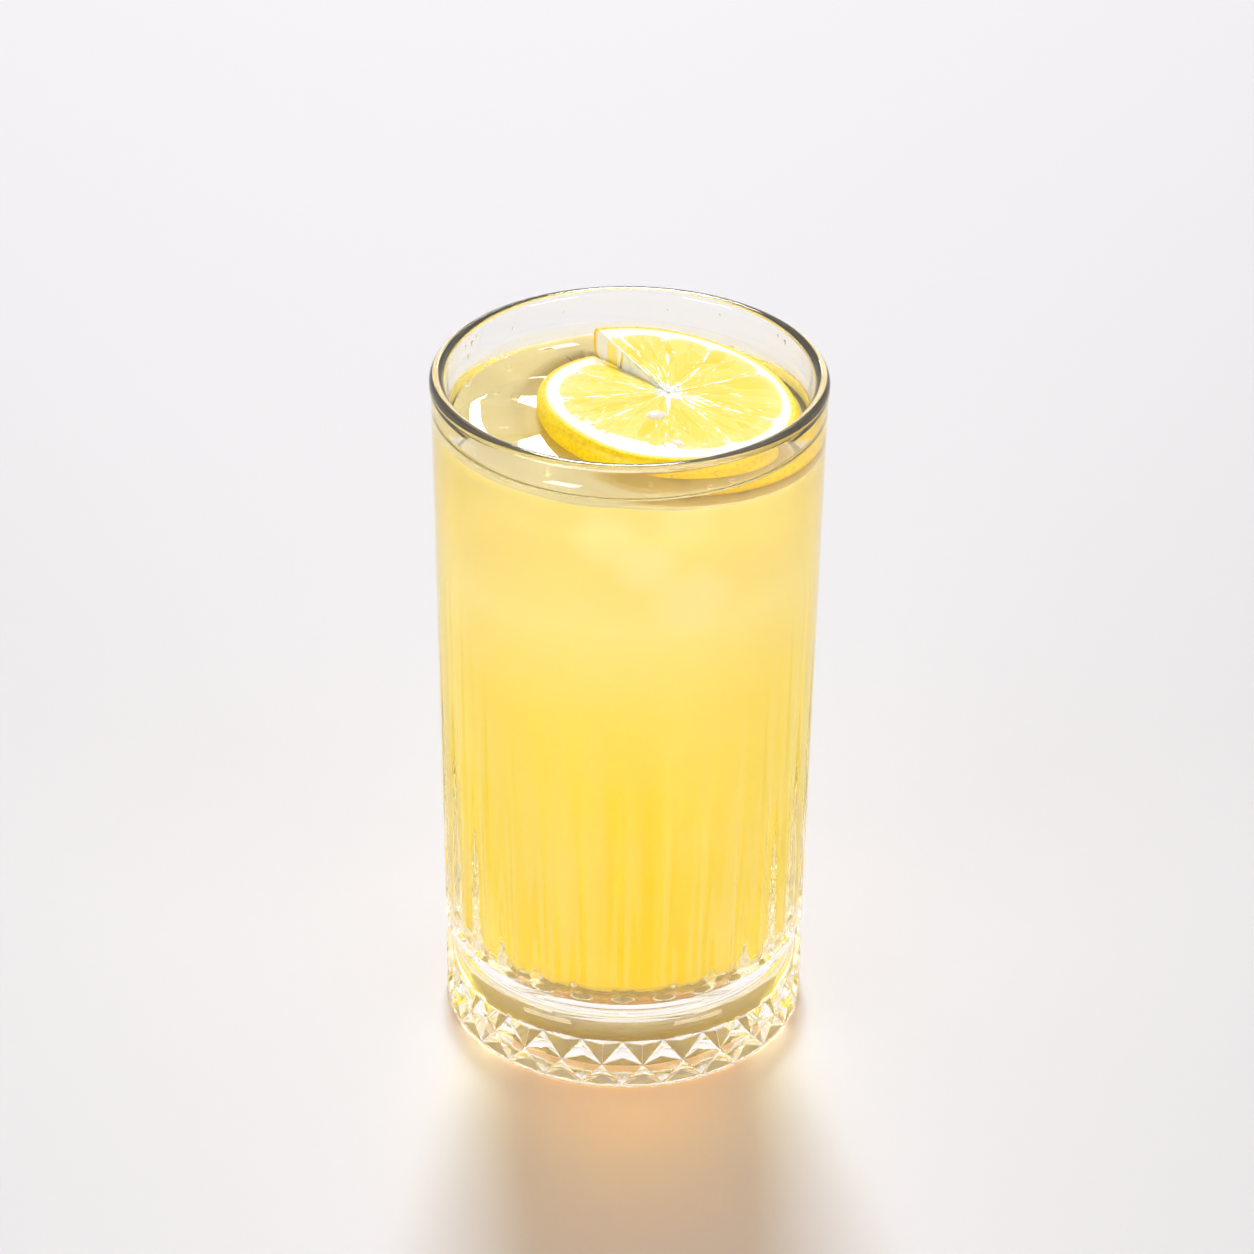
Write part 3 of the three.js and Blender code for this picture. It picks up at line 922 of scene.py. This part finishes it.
def flesh_relief(degrees, radius):
    to_edge = min(flesh_radius(degrees) - radius, radius - core_radius(degrees))
    cell = Vector((degrees * VESICLE_SIZE[0], radius * VESICLE_SIZE[1], VESICLE_SIZE[2]))
    near, far = noise.voronoi(cell)[0][:2]
    swell = VESICLE_SWELL * min(far - near, VESICLE_HIGHEST)
    return smooth(0.0, RELIEF_FADE, to_edge) * (swell - VESICLE_SINK)


polar_map = slice_bm.loops.layers.uv.new("polar")
past_flesh = slice_bm.verts.layers.float.new("past_flesh")
rim_depth = slice_bm.verts.layers.float.new("rim_depth")
past_core = slice_bm.verts.layers.float.new("past_core")
polar_of = {}
for v in slice_bm.verts:
    flat_radius = v.co.xy.length
    level = v.co.z
    degrees = math.degrees(math.atan2(v.co.y, v.co.x))
    rounding = RIND_ROUNDING * level ** ROUNDING_POWER
    share = flat_radius / SLICE_RADIUS
    near_rim = max(0.0, (share - RIM_SHARE) / (1.0 - RIM_SHARE))
    radius = share * rim_radius(degrees) - rounding * near_rim
    height = level * SLICE_THICKNESS / 2
    if abs(level) > ON_A_FACE:
        height += math.copysign(flesh_relief(degrees, radius), level)
    v[past_flesh] = radius - flesh_radius(degrees)
    v[rim_depth] = rim_radius(degrees) - rounding - radius
    v[past_core] = radius - core_radius(degrees)
    polar_of[v] = ((SLIT_ANGLE - degrees) % 360.0 / 360.0, radius / SLICE_RADIUS)
    direction = v.co.xy.normalized() * radius
    v.co = settle(Vector((direction.x, direction.y, height)))
for face in slice_bm.faces:
    for loop in face.loops:
        loop[polar_map].uv = polar_of[loop.vert]
print("the slice has", len(slice_bm.faces), "faces")

# %% [markdown]
# Lemon flesh is made of juice vesicles: long drops that point from the rim to the core.
# Cell noise stretched along the radius gives them, read on the polar map so that it follows
# The walls between them are paler, and short white dashes on some of them are painted highlights, for
# wet vesicles catching the light.

# %% Flesh colour
VESICLES_ROUND = 48.0
VESICLES_OUT = 3.6
FLESH_DEEP = linear(255, 224, 66)
FLESH_LIGHT = linear(255, 238, 118)
FLESH_EDGE = linear(255, 243, 176)
PAINTED_GLINT = linear(255, 254, 244)
CELL_BEND = (0.8, 0.3, 0.0)
EDGE_REACH_IN = -5.0
EDGE_STRENGTH = 0.35
WALL_WIDTH = 0.07
WALL_STRENGTH = 0.4
DASHES = (120.0, 13.0, (3.1, 1.7, 0.0))
DASH_CHOSEN = (0.87, 0.9)
DASH_OUTLINE = (0.38, 0.2)
DASH_FROM_CORE = (3.0, 8.0)
GLINT_STRENGTH = 0.9

slice_material, tree, slice_shader = new_material("lemon_slice_flesh")
polar = add(tree, "UVMap", uv_map="polar").outputs[0]


def attribute(name):
    return add(tree, "Attribute", attribute_name=name).outputs["Fac"]


def cells(round_count, out_count, shift, feature):
    scales = {"Vector": polar, "Scale": (round_count, out_count, 1.0), "Location": shift}
    stretched = add(tree, "Mapping", scales).outputs[0]
    bent = add(tree, "TexNoise", {"Vector": stretched, "Scale": 0.5, "Detail": 2.0})
    bend_inputs = {0: bent.outputs["Color"], 1: CELL_BEND, 2: stretched}
    moved = add(tree, "VectorMath", bend_inputs, operation="MULTIPLY_ADD").outputs[0]
    voronoi = {"Vector": moved, "Scale": 1.0}
    return add(tree, "TexVoronoi", voronoi, feature=feature).outputs


def channel(cell_outputs, number):
    return add(tree, "SeparateColor", {0: cell_outputs["Color"]}).outputs[number]


vesicle = cells(VESICLES_ROUND, VESICLES_OUT, (0.0, 0.0, 0.0), "F1")
vesicle_wall = cells(VESICLES_ROUND, VESICLES_OUT, (0.0, 0.0, 0.0), "DISTANCE_TO_EDGE")["Distance"]
flesh = blend(tree, channel(vesicle, 0), FLESH_DEEP, FLESH_LIGHT)
outward = smooth_step(tree, attribute("past_flesh"), EDGE_REACH_IN, 0.0)
flesh = blend(tree, times(tree, outward, EDGE_STRENGTH), flesh, FLESH_EDGE)
thin_wall = smooth_step(tree, vesicle_wall, WALL_WIDTH, 0.0)
flesh = blend(tree, times(tree, thin_wall, WALL_STRENGTH), flesh, FLESH_EDGE)
# Painted highlights: white dashes on chosen vesicles, kept away from the core.
glint_cells = cells(*DASHES, "F1")
painted_glint = smooth_step(tree, channel(glint_cells, 1), *DASH_CHOSEN)
painted_glint = times(tree, painted_glint, smooth_step(tree, glint_cells["Distance"], *DASH_OUTLINE))
painted_glint = times(tree, painted_glint, smooth_step(tree, attribute("past_core"), *DASH_FROM_CORE))
flesh = blend(tree, times(tree, painted_glint, GLINT_STRENGTH), flesh, PAINTED_GLINT)
print("the flesh has about", round(VESICLES_ROUND * VESICLES_OUT), "vesicles on a face")

# %% [markdown]
# Round the flesh comes the white pith, and round that the yellow zest with its oil glands.
# They are told apart by the stored distances.

# %% Pith, zest and the rest of the slice's material
ZEST_DEPTH = 0.9
ZEST_BLUR = 0.4
PITH_WHITE = linear(250, 249, 243)
PITH_CREAM = linear(246, 241, 222)
ZEST_DEEP = linear(250, 203, 0)
ZEST_LIGHT = linear(252, 222, 28)
GLANDS_PER_METRE = 1000.0
GRAINS_PER_METRE = 800.0
GLAND_EDGES = (0.15, 0.6)
GLAND_PITS = (0.4, 0.1)
GLAND_PIT_DEPTH = 0.12
GRAIN_HEIGHT = 0.15
FLESH_TO_PITH = (-0.35, 0.35)
FLESH_TO_CORE = (0.5, -0.3)
PILLOW_WIDTH = 0.3
FLESH_ROUGHNESS = 0.12
PITH_ROUGHER = 0.25
BUMP = {"Strength": 0.35, "Distance": 0.00015}
JUICE_IOR = 1.38
SLICE_LAMPS = (0.85, 0.74, 0.42)

grain_inputs = {"Vector": here(tree), "Scale": GRAINS_PER_METRE, "Detail": 3.0}
grain = add(tree, "TexNoise", grain_inputs).outputs["Fac"]
gland_inputs = {"Vector": here(tree), "Scale": GLANDS_PER_METRE}
gland = add(tree, "TexVoronoi", gland_inputs, feature="F1").outputs["Distance"]
pith = blend(tree, grain, PITH_WHITE, PITH_CREAM)
zest = blend(tree, smooth_step(tree, gland, *GLAND_EDGES), ZEST_DEEP, ZEST_LIGHT)
in_pith = smooth_step(tree, attribute("past_flesh"), *FLESH_TO_PITH)
in_core = smooth_step(tree, attribute("past_core"), *FLESH_TO_CORE)
in_zest = smooth_step(tree, attribute("rim_depth"), ZEST_DEPTH + ZEST_BLUR, ZEST_DEPTH - ZEST_BLUR)
colour = blend(tree, in_pith, flesh, pith)
colour = blend(tree, in_core, colour, PITH_WHITE)
colour = blend(tree, in_zest, colour, zest)
in_flesh = calc(tree, "SUBTRACT", 1.0, in_pith)
pillow = times(tree, smooth_step(tree, vesicle_wall, 0.0, PILLOW_WIDTH), in_flesh)
relief = calc(tree, "ADD", pillow, times(tree, grain, GRAIN_HEIGHT))
gland_pit = times(tree, smooth_step(tree, gland, *GLAND_PITS), GLAND_PIT_DEPTH)
relief = calc(tree, "SUBTRACT", relief, gland_pit)
feed(tree, slice_shader, {
    "Base Color": colour,
    "Roughness": calc(tree, "ADD", times(tree, in_pith, PITH_ROUGHER), FLESH_ROUGHNESS),
    "IOR": JUICE_IOR,
    "Normal": add(tree, "Bump", {"Height": relief, **BUMP}).outputs[0],
})
let_lamps_through(tree, slice_shader, SLICE_LAMPS)
finish_piece("lemon_slice_body", slice_bm, slice_material, "lemon_slice")

# %% [markdown]
# Thin white membranes part the segments, and each runs from the core to the pith.
# A narrow grid is swept along each one, swaying a little, and Solidify gives it thickness.
# They stand a hair above the flesh, as on a fresh cut. The edges of the cut have one as well.

# %% Membranes
MEMBRANE_HALF_WIDTH = 0.6
MEMBRANE_SWAY = 0.35
MEMBRANE_LIFT = 0.2
MEMBRANE_SINK = 0.4
MEMBRANE_THICKNESS = 0.5
MEMBRANE_OVERLAP = 0.6
MEMBRANE_STEPS = 28
MEMBRANE_ROWS = 4
SWAY_WAVES = 4.0
FRAY_WAVES = 9.0
FRAY_BASE = 0.65
FRAY_OUTWARD = 0.45
FRAY_ROUGH = 0.5
CUT_ANGLE = 1.05
WHITE = linear(255, 254, 248)
CREAM = linear(255, 250, 226)


def speckled(name, first, second, grains_per_metre, finish):
    material, tree, shader = new_material(name)
    speck_inputs = {"Vector": here(tree), "Scale": grains_per_metre, "Detail": 2.0}
    speck = add(tree, "TexNoise", speck_inputs).outputs["Fac"]
    feed(tree, shader, {"Base Color": blend(tree, speck, first, second), **finish})
    return material


membrane_finish = {"Roughness": 0.3, "Subsurface Weight": 0.2, "Subsurface Scale": 0.0003}
white_material = speckled("lemon_membrane", WHITE, CREAM, 1200.0, membrane_finish)
membranes = bmesh.new()
cut_edges = tuple((SLIT_ANGLE + side * CUT_ANGLE,) * 2 for side in (-1, 1))
for number, (rim_angle, core_angle) in enumerate(MEMBRANES + cut_edges):
    is_cut = rim_angle == core_angle
    made = bmesh.ops.create_grid(
        membranes, x_segments=MEMBRANE_STEPS, y_segments=MEMBRANE_ROWS, size=1.0,
    )["verts"]
    reach_in = core_radius(core_angle) - MEMBRANE_OVERLAP
    reach_out = flesh_radius(rim_angle) + MEMBRANE_OVERLAP
    for v in made:
        along = (v.co.x + 1) / 2
        across = v.co.y
        turn = math.radians(core_angle + turn_between(rim_angle, core_angle) * along)
        radius = reach_in + (reach_out - reach_in) * along
        swaying = noise.noise(Vector((along * SWAY_WAVES, number * 7.3, 0.0))) * MEMBRANE_SWAY
        sway = 0.0 if is_cut else swaying
        frayed = noise.noise(Vector((along * FRAY_WAVES, number * 3.1, 5.0)))
        fray = FRAY_BASE + FRAY_OUTWARD * along + FRAY_ROUGH * frayed
        side = across * MEMBRANE_HALF_WIDTH * fray * (0.5 if is_cut else 1.0) + sway
        x = radius * math.cos(turn) - side * math.sin(turn)
        y = radius * math.sin(turn) + side * math.cos(turn)
        z = SLICE_THICKNESS / 2 + MEMBRANE_LIFT - MEMBRANE_SINK * across ** 4
        v.co = settle(Vector((x, y, z)))
bmesh.ops.solidify(membranes, geom=membranes.faces[:], thickness=MEMBRANE_THICKNESS * MM)
bmesh.ops.recalc_face_normals(membranes, faces=membranes.faces)
finish_piece("lemon_membranes", membranes, white_material, "lemon_slice")

# %% [markdown]
# Two seeds show at the cut, pale and pointed at one end.
# A ball stretched along its length and drawn in towards the tip is all that a seed needs.

# %% Seeds
SEED_TAPER = 0.5
SEED_FLATNESS = 0.6

# Each seed: place on the slice, heading in degrees, half length and half width.
SEEDS = ((-2.2, -9.6, 20.0, 2.4, 1.7), (1.6, -19.6, 150.0, 1.7, 1.0))

SEED_PALE = linear(255, 248, 236)
SEED_TAN = linear(244, 226, 200)

seed_finish = {"Roughness": 0.25, "Subsurface Weight": 0.5, "Subsurface Scale": 0.001}
seed_material = speckled("lemon_seed", SEED_PALE, SEED_TAN, 700.0, seed_finish)
seeds = bmesh.new()
for x, y, heading, half_length, half_width in SEEDS:
    made = bmesh.ops.create_uvsphere(seeds, u_segments=28, v_segments=18, radius=1.0)["verts"]
    turn = math.radians(heading)
    for v in made:
        taper = 1.0 - SEED_TAPER * max(v.co.x, 0.0)
        along = v.co.x * half_length
        side = v.co.y * half_width * taper
        up = v.co.z * half_width * SEED_FLATNESS * taper
        seed_x = x + along * math.cos(turn) - side * math.sin(turn)
        seed_y = y + along * math.sin(turn) + side * math.cos(turn)
        v.co = settle(Vector((seed_x, seed_y, SLICE_THICKNESS / 2 + up)))
finish_piece("lemon_seeds", seeds, seed_material, "lemon_slice")

# %% [markdown]
# Two lumps of ice float at the left, with only their tops at the surface.
# Each is a cube whose points are pulled part of the way towards a ball and then smoothed.
# Ice and water bend light almost alike, so its index of refraction is kept low.

# %% Ice
ICE_IOR = 1.16
ICE_CUTS = 7
ICE_ROUNDING = 0.28
ICE_UNEVENNESS = 0.1
ICE_WAVES = 1.3
ICE_TINT = (1.0, 0.99, 0.95)
ICE_LAMPS = (0.97, 0.97, 0.95)
BALL_RADIUS = 1.22

# Each lump: centre, half sizes and turns about X, Y and Z in degrees.
ICE = (
    ((-18.5, 18.0, 135.9), (8.5, 6.5, 3.3), (4.0, -3.0, 38.0)),
    ((-22.0, -2.0, 136.6), (7.0, 9.0, 3.0), (-5.0, 6.0, 12.0)),
)


def lump_turn(turns):
    spun = [Matrix.Rotation(math.radians(turn), 3, axis) for turn, axis in zip(turns, "XYZ")]
    return spun[2] @ spun[1] @ spun[0]


ice_material = clear_material("ice", ICE_TINT, 0.05, ICE_IOR, ICE_LAMPS)[0]
ice = bmesh.new()
for number, (centre, half, turns) in enumerate(ICE):
    block = bmesh.new()
    bmesh.ops.create_cube(block, size=2.0)
    bmesh.ops.subdivide_edges(block, edges=block.edges, cuts=ICE_CUTS, use_grid_fill=True)
    for v in block.verts:
        ball = v.co.normalized() * BALL_RADIUS
        shape = v.co.lerp(ball, ICE_ROUNDING)
        shape *= 1.0 + ICE_UNEVENNESS * noise.noise(shape * ICE_WAVES + Vector((number * 5.0, 0, 0)))
        stretched = Vector([value * size for value, size in zip(shape, half)])
        v.co = (lump_turn(turns) @ stretched + Vector(centre)) * MM
    for _ in range(2):
        bmesh.ops.smooth_vert(
            block, verts=block.verts, factor=0.5, use_axis_x=True, use_axis_y=True, use_axis_z=True,
        )
    block_mesh = bpy.data.meshes.new("ice_block")
    block.to_mesh(block_mesh)
    block.free()
    ice.from_mesh(block_mesh)
    bpy.data.meshes.remove(block_mesh)
finish_piece("ice", ice, ice_material, "lemonade")

# %% [markdown]
# A freshly poured drink has bubbles at its edge, and they climb the curl at the wall.
# They are small flattened balls, placed by a seeded random generator, so that every run
# makes the same glass.

# %% Bubbles
BUBBLE_SEED = 11
BUBBLE_COUNT = 46
BUBBLE_RADII = (0.28, 0.35, 0.5, 0.7)
BUBBLE_FLATNESS = 0.8
EDGE_REACH = 34.6
INNER_BUBBLES = (27.0, 33.0)
WALL_SHARE = 0.6
CLEAR_OF_SLICE = 1.0
FILM_TINT = (1.0, 1.0, 0.97)
CURL_START = 33.8
CURL_SLOPE = 0.9
BIG_BUBBLE = (-22.7, 6.4, LEVEL)
BIG_BUBBLE_RADIUS = 1.0


def add_ball(bm, centre, radius, flatness):
    made = bmesh.ops.create_icosphere(bm, subdivisions=2, radius=radius * MM)["verts"]
    for v in made:
        v.co = Vector((v.co.x, v.co.y, v.co.z * flatness)) + Vector(centre) * MM


rng = random.Random(BUBBLE_SEED)
bubble_material = clear_material("bubble_film", FILM_TINT, 0.02, LIQUID_IOR, CLEAR)[0]
bubbles = bmesh.new()
for number in range(BUBBLE_COUNT):
    angle = rng.uniform(0, 2 * math.pi)
    radius = rng.choice(BUBBLE_RADII)
    at_the_wall = rng.random() < WALL_SHARE
    reach = EDGE_REACH - radius if at_the_wall else rng.uniform(*INNER_BUBBLES)
    x = reach * math.cos(angle)
    y = reach * math.sin(angle)
    if math.hypot(x - SLICE_PLACE[0], y - SLICE_PLACE[1]) > SLICE_RADIUS + CLEAR_OF_SLICE:
        lift = CURL_SLOPE * max(0.0, reach + radius - CURL_START)
        add_ball(bubbles, (x, y, LEVEL + lift), radius, BUBBLE_FLATNESS)
add_ball(bubbles, BIG_BUBBLE, BIG_BUBBLE_RADIUS, BUBBLE_FLATNESS)
finish_piece("bubbles", bubbles, bubble_material, "lemonade")

# %% [markdown]
# A few splashes cling to the inside of the wall above the drink, most of them at the left.
# Each is a small ball, flattened against the glass and drawn down by its own weight.

# %% Drops
DROP_OUT = 0.5
DROP_SIDE = 0.8
DROP_UP = 1.25

# Each drop: angle round the tumbler, height and radius.
DROPS = (
    (147.9, 145.6, 0.42), (150.8, 144.9, 0.55), (154.7, 145.3, 0.35), (154.1, 142.9, 0.5),
    (31.4, 145.3, 0.5), (35.3, 145.6, 0.35), (112.0, 144.3, 0.3), (78.0, 143.8, 0.35),
    (60.0, 144.9, 0.3), (131.0, 143.6, 0.4),
)


def upper_wall(z):
    lip_inside = LIP_OUTER - LIP_THICK
    share = (z - INNER_AT_DRINK[1]) / (HEIGHT - LIP_THICK / 2 - INNER_AT_DRINK[1])
    return INNER_AT_DRINK[0] + (lip_inside - INNER_AT_DRINK[0]) * share


drops = bmesh.new()
for degrees, z, size in DROPS:
    made = bmesh.ops.create_icosphere(drops, subdivisions=2, radius=1.0)["verts"]
    turn = math.radians(degrees)
    for v in made:
        out = upper_wall(z) + v.co.x * size * DROP_OUT
        side = v.co.y * size * DROP_SIDE
        x = out * math.cos(turn) - side * math.sin(turn)
        y = out * math.sin(turn) + side * math.cos(turn)
        v.co = Vector((x, y, z + v.co.z * size * DROP_UP)) * MM
finish_piece("drops", drops, bubble_material, "lemonade")
